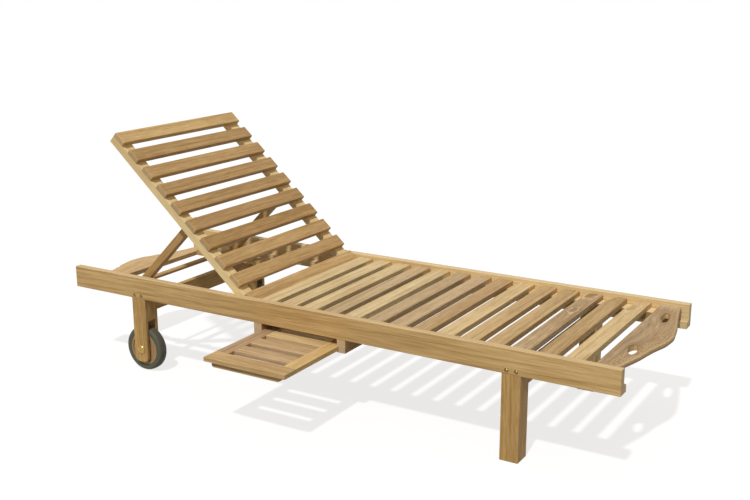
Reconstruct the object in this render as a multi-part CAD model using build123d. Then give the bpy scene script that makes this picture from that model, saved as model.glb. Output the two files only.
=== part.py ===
from build123d import *
import math
import os

# Reclining teak sun lounger: two ledged side rails carry a slatted seat panel and a hinged slatted
# backrest, a U-shaped prop holds the backrest up over two notched racks, a tray pulls out of the
# right side, and the frame stands on two legs at the foot and two wheels at the head.
# X runs from the head end (-) to the foot end (+), Y from the right side (-) to the left side (+),
# Z is up from the ground, and all sizes are in millimetres.

# Side rails: upright boards with a ledge along the bottom of the inner face
rail_length = 2000.0
rail_height = 75.0
rail_thickness = 25.0
rail_top = 340.0
frame_width = 680.0
ledge_width = 20.0
ledge_height = 22.0
rail_edge_round = 2.0

# Slatted panels: slats lie on two stiles
slat_thickness = 18.0
stile_thickness = 25.0
stile_width = 49.0
slat_edge_round = 2.5
seat_side_gap = 2.0
back_side_gap = 3.0

# Seat panel: as many slats as fit at about the pitch, spread evenly
seat_slat_width = 55.0
seat_slat_pitch = 80.0
seat_head_x = -215.0
bearer_setback = 3.0
bearer_foot_overlap = 42.0

# Waney far corners of some seat slats: slat number, bite across the slat, length along it
wanes = ((9, 7.0, 55.0), (10, 9.0, 70.0), (12, 18.0, 70.0), (13, 24.0, 95.0), (14, 26.0, 130.0))

# Foot board: a live-edged plank, set back from the rails' ends; its wavy edge runs from the left end,
# as shares of its half length and of its greatest width
foot_board_setback = 86.0
foot_board_gap = 34.0
foot_board_width = 120.0
foot_board_curve = 110.0
foot_board_wave = ((1.0, 0.49), (0.8, 0.59), (0.5, 0.78), (0.36, 0.855), (0.24, 0.94), (0.05, 1.0),
                   (-0.1, 0.97), (-0.21, 0.9), (-0.35, 0.79), (-0.48, 0.755), (-0.6, 0.7), (-0.78, 0.575),
                   (-1.0, 0.42))
knot_lean = 9.0
right_knot_width = 28.0
right_knot_length = 86.0
right_knot_inset = 52.0
right_knot_y = -140.0
left_knot_width = 22.0
left_knot_length = 100.0
left_knot_inset = 49.0
left_knot_y = 182.0

# Head board: a live-edged plank between the ledges, with its wavy edge as above
head_board_setback = 86.0
head_board_drop = 6.0
head_board_width = 132.0
head_board_curve = 110.0
head_board_wave = ((1.0, 0.33), (0.84, 0.42), (0.56, 0.56), (0.34, 0.75), (0.08, 1.0), (-0.12, 1.0),
                   (-0.32, 0.87), (-0.56, 0.7), (-0.8, 0.52), (-1.0, 0.4))

# Legs at the foot end and forked legs for the wheels at the head end
leg_width = 58.0
leg_depth = 60.0
front_leg_setback = 314.0
wheel_leg_setback = 292.0
wheel_leg_clearance = 34.0
wheel_leg_toe_round = 18.0
leg_edge_round = 2.0
fork_cheek = 11.0
fork_headroom = 26.0

# Wheels and their bolts
wheel_diameter = 158.0
tyre_width = 36.0
tyre_depth = 21.0
tyre_shoulder = 8.0
disc_width = 32.0
disc_dish = 3.0
disc_hub_diameter = 44.0
disc_fit = 0.1
axle_diameter = 12.0
axle_head_diameter = 26.0
axle_head_height = 8.0
axle_head_round = 5.0
axle_nut_across = 18.0
axle_nut_height = 9.0

# Stretchers between the legs
stretcher_thickness = 22.0
stretcher_height = 57.0

# Leg screws, two through the rail into each leg
screw_spacing = 30.0
screw_rise = 10.0
screw_diameter = 5.0
screw_head_diameter = 11.0
screw_head_height = 3.0
screw_recess = 3.0
screw_grip = 24.0
screw_head_gap = 1.0

# Pivot pins and running fits
pin_diameter = 10.0
pin_in_stile = 22.0
pin_in_rail = 15.0
fixed_fit = 0.02
running_fit = 0.05

# Backrest: slats spread as on the seat; lying flat, it passes the rails' head ends a little
back_overhang = 5.3
back_slat_width = 48.0
back_slat_pitch = 79.7
back_slat_gap = 25.0
hinge_inset = 6.0
ledge_clearance = 0.5
back_rest_angle = 41.9
back_top_angle = 56.0

# Prop: its pivot lies on the stile's centre line, its bar comes down to a height over the rails'
# bottom at rest, and it folds flat into the backrest
prop_pivot_reach = 365.0
prop_length = 347.0
prop_bar_rise = 33.5
arm_above_line = 11.5
arm_below_line = 14.5
arm_thickness = 26.0
arm_stile_gap = 1.0
prop_bar_diameter = 18.0

# Racks: the tooth tips follow the tangent of the path of the prop's bar, found over a small turn in degrees
rack_thickness = 23.0
rack_arm_gap = 2.0
rack_pitch = 68.0
rack_notch_depth = 12.0
rack_notch_floor = 16.0
rack_bar_clearance = 0.6
rack_tip_land = 16.0
path_step = 0.01

# Tray and its runners
tray_centre_x = -36.5
tray_width = 297.0
tray_thickness = 14.0
tray_front_y = -621.0
tray_front_depth = 59.0
tray_stile_width = 46.0
tray_slat_count = 3
tray_slat_width = 51.5
tray_slat_gap = 29.5
tray_back_depth = 60.0
tray_drop = 22.0
tray_edge_round = 1.5
runner_width = 30.0
runner_height = 42.0
runner_overlap = 5.0
runner_clearance = 0.5
tray_stop_room = 2.0
pull_inset = 24.0
pull_setback = 8.0
pull_depth = 20.0
pull_height = 16.0
pull_round = 7.0

# Levels and faces that several pieces share, worked out from the sizes above
half_width = frame_width / 2
rail_end = rail_length / 2
rail_bottom = rail_top - rail_height
rail_inner = half_width - rail_thickness
ledge_inner = rail_inner - ledge_width
ledge_top = rail_bottom + ledge_height
leg_inner = half_width - leg_depth
seat_half = rail_inner - seat_side_gap
seat_slat_bottom = ledge_top + stile_thickness
seat_slat_top = seat_slat_bottom + slat_thickness
foot_board_x = rail_end - foot_board_setback
seat_slat_run = foot_board_x - foot_board_gap - seat_slat_width - seat_head_x
seat_slat_count = 1 + round(seat_slat_run / seat_slat_pitch)
seat_slat_step = seat_slat_run / (seat_slat_count - 1)
head_board_x = -rail_end + head_board_setback
front_leg_x = rail_end - front_leg_setback
wheel_leg_x = -rail_end + wheel_leg_setback
back_half = rail_inner - back_side_gap
back_stile_inner = back_half - stile_width
back_foot_x = seat_head_x - back_slat_gap
back_head_x = -rail_end - back_overhang
back_slat_run = back_foot_x - back_slat_width - back_head_x
back_slat_count = 1 + round(back_slat_run / back_slat_pitch)
back_slat_step = back_slat_run / (back_slat_count - 1)
hinge_x = back_foot_x - hinge_inset
hinge_z = ledge_top + ledge_clearance + stile_thickness / 2
arm_outer = back_stile_inner - arm_stile_gap
arm_inner = arm_outer - arm_thickness
rack_outer = arm_inner - rack_arm_gap
wheel_radius = wheel_diameter / 2
wheel_centre_y = half_width - leg_depth / 2
pin_radius = pin_diameter / 2
bar_radius = prop_bar_diameter / 2
tray_top = rail_bottom - tray_drop
tray_bottom = tray_top - tray_thickness
tray_head_x = tray_centre_x - tray_width / 2
tray_foot_x = tray_centre_x + tray_width / 2
tray_length = (tray_front_depth + tray_back_depth + tray_slat_gap
               + tray_slat_count * (tray_slat_gap + tray_slat_width))
tray_travel = -half_width - tray_front_y


def block(x0, x1, y0, y1, z0, z1):
    """A box between two corners."""
    centre = Pos((x0 + x1) / 2, (y0 + y1) / 2, (z0 + z1) / 2)
    return centre * Box(abs(x1 - x0), abs(y1 - y0), abs(z1 - z0))


def rod(x, z, y0, y1, radius):
    """A round bar along Y."""
    return Pos(x, (y0 + y1) / 2, z) * Rot(90, 0, 0) * Cylinder(radius, abs(y1 - y0))


def plank(outline, z0, z1):
    """A board of a closed plan outline, between two heights."""
    face = make_face(outline)
    return Pos(0, 0, z0) * extrude(face, z1 - z0)


def ease_top(board, radius):
    """Round the edges of a board's top face."""
    return fillet(board.faces().sort_by(Axis.Z)[-1].edges(), radius)


def ease_long(board, axis, radius):
    """Round the edges of a board that run along one axis."""
    return fillet(board.edges().filter_by(axis), radius)


def save(node, shape):
    export_step(shape, f"parts/{node}.step")


def save_pair(name, left):
    """Save a piece of the left side and its mirror image on the right side."""
    save(f"left_{name}", left)
    save(f"right_{name}", mirror(left, about=Plane.XZ))


def screw_places():
    return [leg_x + side * screw_spacing / 2 for leg_x in (front_leg_x, wheel_leg_x) for side in (-1, 1)]


def live_edge(end_half, inner_x, width, wave, curve):
    """Plan outline of a plank across the frame with one straight and one wavy long edge."""
    points = [(inner_x + width * across, end_half * along) for along, across in wave]
    left_end = Line((inner_x, end_half), points[0])
    wavy = FilletPolyline(*points, radius=curve)
    right_end = Line(points[-1], (inner_x, -end_half))
    straight = Line((inner_x, -end_half), (inner_x, end_half))
    return [left_end, wavy, right_end, straight]


def ease_live_edge(board, radius):
    """Round the long edges of a live-edged plank's top; its ends butt against the frame."""
    return fillet(board.faces().sort_by(Axis.Z)[-1].edges().filter_by(Axis.X, reverse=True), radius)


def prop_pivot(back_angle):
    turn = math.radians(back_angle)
    x = hinge_x - prop_pivot_reach * math.cos(turn)
    z = hinge_z + prop_pivot_reach * math.sin(turn)
    return x, z


# The prop leans so that its bar is at its height at rest, and follows the backrest at a fixed ratio
prop_fall = prop_pivot(back_rest_angle)[1] - rail_bottom - prop_bar_rise
prop_rest_angle = math.degrees(math.asin(prop_fall / prop_length))
prop_ratio = prop_rest_angle / back_rest_angle


def prop_foot(back_angle):
    pivot_x, pivot_z = prop_pivot(back_angle)
    lean = math.radians(back_angle * prop_ratio)
    return pivot_x - prop_length * math.cos(lean), pivot_z - prop_length * math.sin(lean)


def make_rail():
    board = block(-rail_end, rail_end, rail_inner, half_width, rail_bottom, rail_top)
    board = ease_long(board, Axis.X, rail_edge_round)
    ledge = block(-rail_end, rail_end, ledge_inner, rail_inner + rail_edge_round, rail_bottom, ledge_top)
    rail = board + ledge
    for leg_x in (front_leg_x, wheel_leg_x):
        rail -= block(leg_x - leg_width / 2, leg_x + leg_width / 2, ledge_inner, rail_inner,
                      rail_bottom, ledge_top)
    rail -= rod(hinge_x, hinge_z, rail_inner, rail_inner + pin_in_rail + running_fit,
                pin_radius + running_fit)
    screw_z = rail_bottom + screw_rise
    recess = screw_recess + screw_head_height
    for x in screw_places():
        rail -= rod(x, screw_z, rail_inner, half_width, screw_diameter / 2 + fixed_fit)
        rail -= rod(x, screw_z, half_width - recess, half_width, screw_head_diameter / 2 + screw_head_gap)
    return rail


def make_leg(leg_x, foot_z, toe_round):
    """A post under the rail with a tongue that laps behind it in a gap of the ledge."""
    x0 = leg_x - leg_width / 2
    x1 = leg_x + leg_width / 2
    post = block(x0, x1, leg_inner, half_width, foot_z, rail_bottom)
    post = fillet(post.edges().filter_by(Axis.Y).group_by(Axis.Z)[0], toe_round)
    post = ease_long(post, Axis.Z, leg_edge_round)
    leg = post + block(x0, x1, leg_inner, rail_inner, rail_bottom, ledge_top)
    for side in (-1, 1):
        leg -= rod(leg_x + side * screw_spacing / 2, rail_bottom + screw_rise, rail_inner - screw_grip,
                   rail_inner, screw_diameter / 2 + fixed_fit)
    return leg


def make_wheel_leg():
    leg = make_leg(wheel_leg_x, wheel_leg_clearance, wheel_leg_toe_round)
    half = leg_width / 2
    fork_top = wheel_diameter + fork_headroom
    leg -= block(wheel_leg_x - half, wheel_leg_x + half, leg_inner + fork_cheek, half_width - fork_cheek,
                 wheel_leg_clearance, fork_top)
    leg -= rod(wheel_leg_x, wheel_radius, leg_inner, half_width, axle_diameter / 2 + fixed_fit)
    return leg


def make_leg_screws():
    """Countersunk brass screws for the left side, one solid each."""
    screw_z = rail_bottom + screw_rise
    head_face = half_width - screw_recess
    screws = []
    for x in screw_places():
        head = rod(x, screw_z, head_face - screw_head_height, head_face, screw_head_diameter / 2)
        shank = rod(x, screw_z, rail_inner - screw_grip, head_face, screw_diameter / 2)
        screws.append(head + shank)
    return screws


def make_tyre():
    inner = wheel_radius - tyre_depth
    y0 = wheel_centre_y - tyre_width / 2
    y1 = wheel_centre_y + tyre_width / 2
    ring = rod(wheel_leg_x, wheel_radius, y0, y1, wheel_radius)
    ring = fillet(ring.edges().filter_by(GeomType.CIRCLE), tyre_shoulder)
    return ring - rod(wheel_leg_x, wheel_radius, y0, y1, inner)


def make_wheel_disc():
    radius = wheel_radius - tyre_depth - disc_fit
    y0 = wheel_centre_y - disc_width / 2
    y1 = wheel_centre_y + disc_width / 2
    disc = rod(wheel_leg_x, wheel_radius, y0, y1, radius)
    for face, inward in ((y0, 1), (y1, -1)):
        dish = rod(wheel_leg_x, wheel_radius, face, face + inward * disc_dish, radius - tyre_shoulder)
        dish -= rod(wheel_leg_x, wheel_radius, face, face + inward * disc_dish, disc_hub_diameter / 2)
        disc -= dish
    return disc - rod(wheel_leg_x, wheel_radius, y0, y1, axle_diameter / 2 + running_fit)


def make_axle_bolt():
    """A dome-headed bolt through the fork, and the nut on its inner end."""
    tip = leg_inner - axle_nut_height
    head = rod(wheel_leg_x, wheel_radius, half_width, half_width + axle_head_height, axle_head_diameter / 2)
    head = fillet(head.edges().sort_by(Axis.Y)[-1], axle_head_round)
    bolt = head + rod(wheel_leg_x, wheel_radius, tip, half_width, axle_diameter / 2)
    across_corners = axle_nut_across / math.cos(math.pi / 6)
    hexagon = Plane((wheel_leg_x, leg_inner, wheel_radius), z_dir=(0, -1, 0)) * RegularPolygon(
        across_corners / 2, 6)
    nut = extrude(hexagon, axle_nut_height)
    nut -= rod(wheel_leg_x, wheel_radius, tip, leg_inner, axle_diameter / 2 + fixed_fit)
    return [bolt, nut]


def make_seat_slat(number):
    x0 = seat_head_x + (number - 1) * seat_slat_step
    x1 = x0 + seat_slat_width
    bite, run = next(((b, r) for n, b, r in wanes if n == number), (0.0, 0.0))
    if bite:
        wane = TangentArc((x0, seat_half - run), (x0 + bite, seat_half), tangent=(0, 1))
        sides = Polyline((x0 + bite, seat_half), (x1, seat_half), (x1, -seat_half), (x0, -seat_half),
                         (x0, seat_half - run))
        slat = plank([wane, sides], seat_slat_bottom, seat_slat_top)
    else:
        slat = block(x0, x1, -seat_half, seat_half, seat_slat_bottom, seat_slat_top)
    return ease_top(slat, slat_edge_round)


def knot(inset, y, width, length):
    """A hole right through the foot board where a knot has fallen out."""
    rim = Rot(0, 0, knot_lean) * Ellipse(width / 2, length / 2)
    return extrude(Pos(foot_board_x + inset, y, seat_slat_bottom) * rim, slat_thickness)


def make_foot_board():
    outline = live_edge(seat_half, foot_board_x, foot_board_width, foot_board_wave, foot_board_curve)
    board = ease_live_edge(plank(outline, seat_slat_bottom, seat_slat_top), slat_edge_round)
    board -= knot(right_knot_inset, right_knot_y, right_knot_width, right_knot_length)
    board -= knot(left_knot_inset, left_knot_y, left_knot_width, left_knot_length)
    return board


def make_head_board():
    outline = live_edge(ledge_inner, head_board_x, -head_board_width, head_board_wave, head_board_curve)
    return ease_live_edge(plank(outline, rail_bottom, ledge_top - head_board_drop), slat_edge_round)


def make_rack():
    """A batten whose tooth tips lie just under the path of the prop's bar."""
    rest_x, rest_z = prop_foot(back_rest_angle)
    next_x, next_z = prop_foot(back_rest_angle + path_step)
    slope = (next_z - rest_z) / (next_x - rest_x)

    def tip_z(x):
        return rest_z - bar_radius - rack_bar_clearance + slope * (x - rest_x)

    first = rest_x
    while first - rack_pitch > head_board_x + rack_pitch:
        first -= rack_pitch
    outline = [(head_board_x, rail_bottom), (head_board_x, tip_z(head_board_x))]
    wall_x = first - rack_notch_floor / 2
    while wall_x < prop_foot(back_top_angle)[0]:
        floor_z = tip_z(wall_x) - rack_notch_depth
        ramp_x = wall_x + rack_pitch - rack_tip_land
        outline.append((wall_x, tip_z(wall_x)))
        outline.append((wall_x, floor_z))
        outline.append((wall_x + rack_notch_floor, floor_z))
        outline.append((ramp_x, tip_z(ramp_x)))
        wall_x += rack_pitch
    foot_x = wall_x
    outline.append((foot_x, tip_z(foot_x)))
    outline.append((foot_x, rail_bottom))
    profile = make_face(Polyline(*outline, close=True))
    side = Plane((0, rack_outer, 0), x_dir=(1, 0, 0), z_dir=(0, -1, 0)) * profile
    return extrude(side, rack_thickness)


def raise_back(piece):
    """Turn a piece of the flat backrest up to its rest angle."""
    return piece.rotate(Axis((hinge_x, 0, hinge_z), (0, 1, 0)), back_rest_angle)


def make_back_stile():
    half = stile_thickness / 2
    stile = block(back_head_x, hinge_x, back_stile_inner, back_half, hinge_z - half, hinge_z + half)
    stile += rod(hinge_x, hinge_z, back_stile_inner, back_half, half)
    stile -= rod(hinge_x, hinge_z, back_half - pin_in_stile - fixed_fit, back_half, pin_radius + fixed_fit)
    pivot_x, pivot_z = prop_pivot(0)
    stile -= rod(pivot_x, pivot_z, back_stile_inner, back_stile_inner + pin_in_stile + fixed_fit,
                 pin_radius + fixed_fit)
    return raise_back(stile)


def make_back_slat(number):
    """Slats are numbered from the head end."""
    x0 = back_head_x + (number - 1) * back_slat_step
    bottom = hinge_z + stile_thickness / 2
    slat = block(x0, x0 + back_slat_width, -back_half, back_half, bottom, bottom + slat_thickness)
    return raise_back(ease_top(slat, slat_edge_round))


def make_pivot_pins():
    """The left stile's hinge pin and prop pin."""
    hinge_pin = rod(hinge_x, hinge_z, back_half - pin_in_stile, rail_inner + pin_in_rail, pin_radius)
    pivot_x, pivot_z = prop_pivot(0)
    prop_pin = rod(pivot_x, pivot_z, arm_inner, back_stile_inner + pin_in_stile, pin_radius)
    return [hinge_pin, raise_back(prop_pin)]


def make_prop_arm():
    """An arm with round ends about its pivot and its bar, leaning at the prop's rest angle."""
    pivot_x, pivot_z = prop_pivot(0)
    foot_x = pivot_x - prop_length
    arm = block(foot_x, pivot_x, arm_inner, arm_outer, pivot_z - arm_below_line, pivot_z + arm_above_line)
    for x in (foot_x, pivot_x):
        arm += rod(x, pivot_z, arm_inner, arm_outer, arm_above_line)
    arm -= rod(pivot_x, pivot_z, arm_inner, arm_outer, pin_radius + running_fit)
    arm -= rod(foot_x, pivot_z, arm_inner, arm_outer, bar_radius + fixed_fit)
    arm = arm.rotate(Axis((pivot_x, 0, pivot_z), (0, 1, 0)), -prop_rest_angle)
    rest_x, rest_z = prop_pivot(back_rest_angle)
    return Pos(rest_x - pivot_x, 0, rest_z - pivot_z) * arm


def make_runner(inner_x, outward):
    """A grooved bar under both rails that holds one side of the tray."""
    runner = block(inner_x, inner_x + outward * runner_width, -half_width, half_width,
                   rail_bottom - runner_height, rail_bottom)
    groove_end = tray_front_y + tray_length + tray_travel + tray_stop_room
    groove = block(inner_x, inner_x + outward * (runner_overlap + runner_clearance), -half_width,
                   groove_end, tray_bottom - runner_clearance, tray_top + runner_clearance)
    return runner - groove


def save_tray():
    """The tray's frame and slats, butted edge to edge, and the pull batten under its front."""
    front_back = tray_front_y + tray_front_depth
    back_y = tray_front_y + tray_length
    front = block(tray_head_x, tray_foot_x, tray_front_y, front_back, tray_bottom, tray_top)
    save("tray_front_rail", ease_top(front, tray_edge_round))
    slat_head = tray_head_x + tray_stile_width
    slat_foot = tray_foot_x - tray_stile_width
    for name, x0, x1 in (("head", tray_head_x, slat_head), ("foot", slat_foot, tray_foot_x)):
        stile = block(x0, x1, front_back, back_y, tray_bottom, tray_top)
        save(f"tray_{name}_stile", ease_top(stile, tray_edge_round))
    for index in range(tray_slat_count):
        y0 = front_back + tray_slat_gap + index * (tray_slat_gap + tray_slat_width)
        slat = block(slat_head, slat_foot, y0, y0 + tray_slat_width, tray_bottom, tray_top)
        save(f"tray_slat_{index + 1}", ease_top(slat, tray_edge_round))
    back = block(slat_head, slat_foot, back_y - tray_back_depth, back_y, tray_bottom, tray_top)
    save("tray_back_rail", ease_top(back, tray_edge_round))
    pull = block(tray_head_x + pull_inset, tray_foot_x - pull_inset, tray_front_y + pull_setback,
                 tray_front_y + pull_setback + pull_depth, tray_bottom - pull_height, tray_bottom)
    save("tray_pull", fillet(pull.edges().filter_by(Axis.Y).group_by(Axis.Z)[0], pull_round))


os.makedirs("parts", exist_ok=True)

# Frame
save_pair("rail", make_rail())
bearer_foot = foot_board_x + bearer_foot_overlap
save_pair("seat_bearer", block(seat_head_x + bearer_setback, bearer_foot, seat_half - stile_width, seat_half,
                               ledge_top, seat_slat_bottom))
for number in range(1, seat_slat_count + 1):
    save(f"seat_slat_{number:02d}", make_seat_slat(number))
save("foot_board", make_foot_board())
save("head_board", make_head_board())
save_pair("front_leg", make_leg(front_leg_x, 0.0, leg_edge_round))
save_pair("wheel_leg", make_wheel_leg())
half_stretcher = stretcher_thickness / 2
for name, leg_x in (("front", front_leg_x), ("rear", wheel_leg_x)):
    save(f"{name}_stretcher", block(leg_x - half_stretcher, leg_x + half_stretcher, -leg_inner, leg_inner,
                                    rail_bottom - stretcher_height, rail_bottom))
save_pair("rack", make_rack())
left_screws = make_leg_screws()
right_screws = [mirror(screw, about=Plane.XZ) for screw in left_screws]
save("leg_screws", Compound(children=left_screws + right_screws))

# Wheels
save_pair("tyre", make_tyre())
save_pair("wheel_disc", make_wheel_disc())
left_bolt = make_axle_bolt()
right_bolt = [mirror(piece, about=Plane.XZ) for piece in left_bolt]
save("axle_bolts", Compound(children=left_bolt + right_bolt))

# Backrest
save_pair("back_stile", make_back_stile())
for number in range(1, back_slat_count + 1):
    save(f"back_slat_{number:02d}", make_back_slat(number))
left_pins = make_pivot_pins()
right_pins = [mirror(pin, about=Plane.XZ) for pin in left_pins]
save("pivot_pins", Compound(children=left_pins + right_pins))

# Prop
save_pair("prop_arm", make_prop_arm())
bar_x, bar_z = prop_foot(back_rest_angle)
save("prop_bar", rod(bar_x, bar_z, -arm_outer, arm_outer, bar_radius))

# Tray
save("tray_head_runner", make_runner(tray_head_x + runner_overlap, -1))
save("tray_foot_runner", make_runner(tray_foot_x - runner_overlap, 1))
save_tray()
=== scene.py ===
import math
import random

import bpy
from mathutils import Euler, Matrix, Vector, noise


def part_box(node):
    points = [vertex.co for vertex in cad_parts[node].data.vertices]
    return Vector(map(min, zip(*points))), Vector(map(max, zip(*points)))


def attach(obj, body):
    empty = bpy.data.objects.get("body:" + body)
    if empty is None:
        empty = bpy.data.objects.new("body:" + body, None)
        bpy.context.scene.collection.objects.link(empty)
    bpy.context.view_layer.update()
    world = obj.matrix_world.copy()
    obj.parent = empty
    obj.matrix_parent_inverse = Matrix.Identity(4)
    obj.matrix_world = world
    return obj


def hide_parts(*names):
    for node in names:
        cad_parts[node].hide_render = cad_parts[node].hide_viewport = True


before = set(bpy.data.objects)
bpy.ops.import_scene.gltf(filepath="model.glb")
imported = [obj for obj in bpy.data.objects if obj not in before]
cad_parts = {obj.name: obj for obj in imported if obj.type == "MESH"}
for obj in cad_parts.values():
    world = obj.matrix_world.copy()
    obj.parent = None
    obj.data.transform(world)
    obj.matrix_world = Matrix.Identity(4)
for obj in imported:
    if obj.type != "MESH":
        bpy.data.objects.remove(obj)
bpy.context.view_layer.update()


# Side rails
# Each rail is one straight-grained teak board with a ledge along its inner face, planed and sanded.
# Nothing is on the wood but the sun, so it is golden tan with darker growth lines along its length.


def linear(colour):
    """Linear RGBA of an sRGB hex colour."""
    parts = [int(colour[place:place + 2], 16) / 255 for place in (1, 3, 5)]
    return [p / 12.92 if p <= 0.04045 else ((p + 0.055) / 1.055) ** 2.4 for p in parts] + [1.0]


def add(tree, kind, inputs, out=0, **settings):
    """Add a node with its settings, set or link its inputs, and give one of its outputs if it has any."""
    node = tree.nodes.new(kind)
    for name, value in settings.items():
        setattr(node, name, value)
    for name, value in inputs.items():
        if isinstance(value, bpy.types.NodeSocket):
            tree.links.new(value, node.inputs[name])
        else:
            node.inputs[name].default_value = value
    return node.outputs[out] if node.outputs else None


def start_material(name):
    """A new material with an empty node tree, and that tree."""
    material = bpy.data.materials.new(name)
    material.use_nodes = True
    material.node_tree.nodes.clear()
    return material, material.node_tree


def dress(node, material):
    """Give a CAD node its material."""
    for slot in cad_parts[node].material_slots:
        slot.material = material


def part_round_knot(tree, place, knot):
    """Bend a grain that runs along Y round a knot, given as its x, y and radius. Gives the bent places, and
    how much darker they are in the knot or paler in the uneven ring of young wood round it."""
    x, y, radius = knot

    # How far from the knot's middle, in radii of an oval 2.5 times as long as wide, with an uneven rim
    offset = add(tree, "ShaderNodeVectorMath", {0: place, 1: (x, y, 0)}, operation="SUBTRACT")
    oval = add(tree, "ShaderNodeVectorMath", {0: offset, 1: (1 / radius, 0.4 / radius, 0)},
               operation="MULTIPLY")
    apart = add(tree, "ShaderNodeVectorMath", {0: oval}, out="Value", operation="LENGTH")
    uneven = add(tree, "ShaderNodeTexNoise", {"Vector": place, "Scale": 1 / 0.02, "Detail": 2.0}, out="Fac")
    uneven = add(tree, "ShaderNodeMath", {0: uneven, 1: 0.5}, operation="SUBTRACT")
    apart = add(tree, "ShaderNodeMath", {0: uneven, 1: 2.5, 2: apart}, operation="MULTIPLY_ADD")

    # The grain is pushed aside, less and less with the square of that distance
    square = add(tree, "ShaderNodeMath", {0: apart, 1: 2.0}, operation="POWER")
    square = add(tree, "ShaderNodeMath", {0: square, 1: 1.0}, operation="MAXIMUM")
    push = add(tree, "ShaderNodeMath", {0: -0.9, 1: square}, operation="DIVIDE")
    across = add(tree, "ShaderNodeVectorMath", {0: offset, 1: (1, 0, 0)}, operation="MULTIPLY")
    shift = add(tree, "ShaderNodeVectorMath", {0: across, 3: push}, operation="SCALE")
    bent = add(tree, "ShaderNodeVectorMath", {0: place, 1: shift})

    near = add(tree, "ShaderNodeMapRange", {0: apart, 1: 1.7, 2: 0.6, 3: 0.0, 4: 0.2},
               interpolation_type="SMOOTHSTEP")
    from_ring = add(tree, "ShaderNodeMath", {0: apart, 1: 1.3}, operation="SUBTRACT")
    from_ring = add(tree, "ShaderNodeMath", {0: from_ring}, operation="ABSOLUTE")
    pale_ring = add(tree, "ShaderNodeMapRange", {0: from_ring, 1: 0.45, 2: 0.0, 3: 0.0, 4: -0.6},
                    interpolation_type="SMOOTHSTEP")
    return bent, add(tree, "ShaderNodeMath", {0: near, 1: pale_ring}, operation="ADD")


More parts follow.
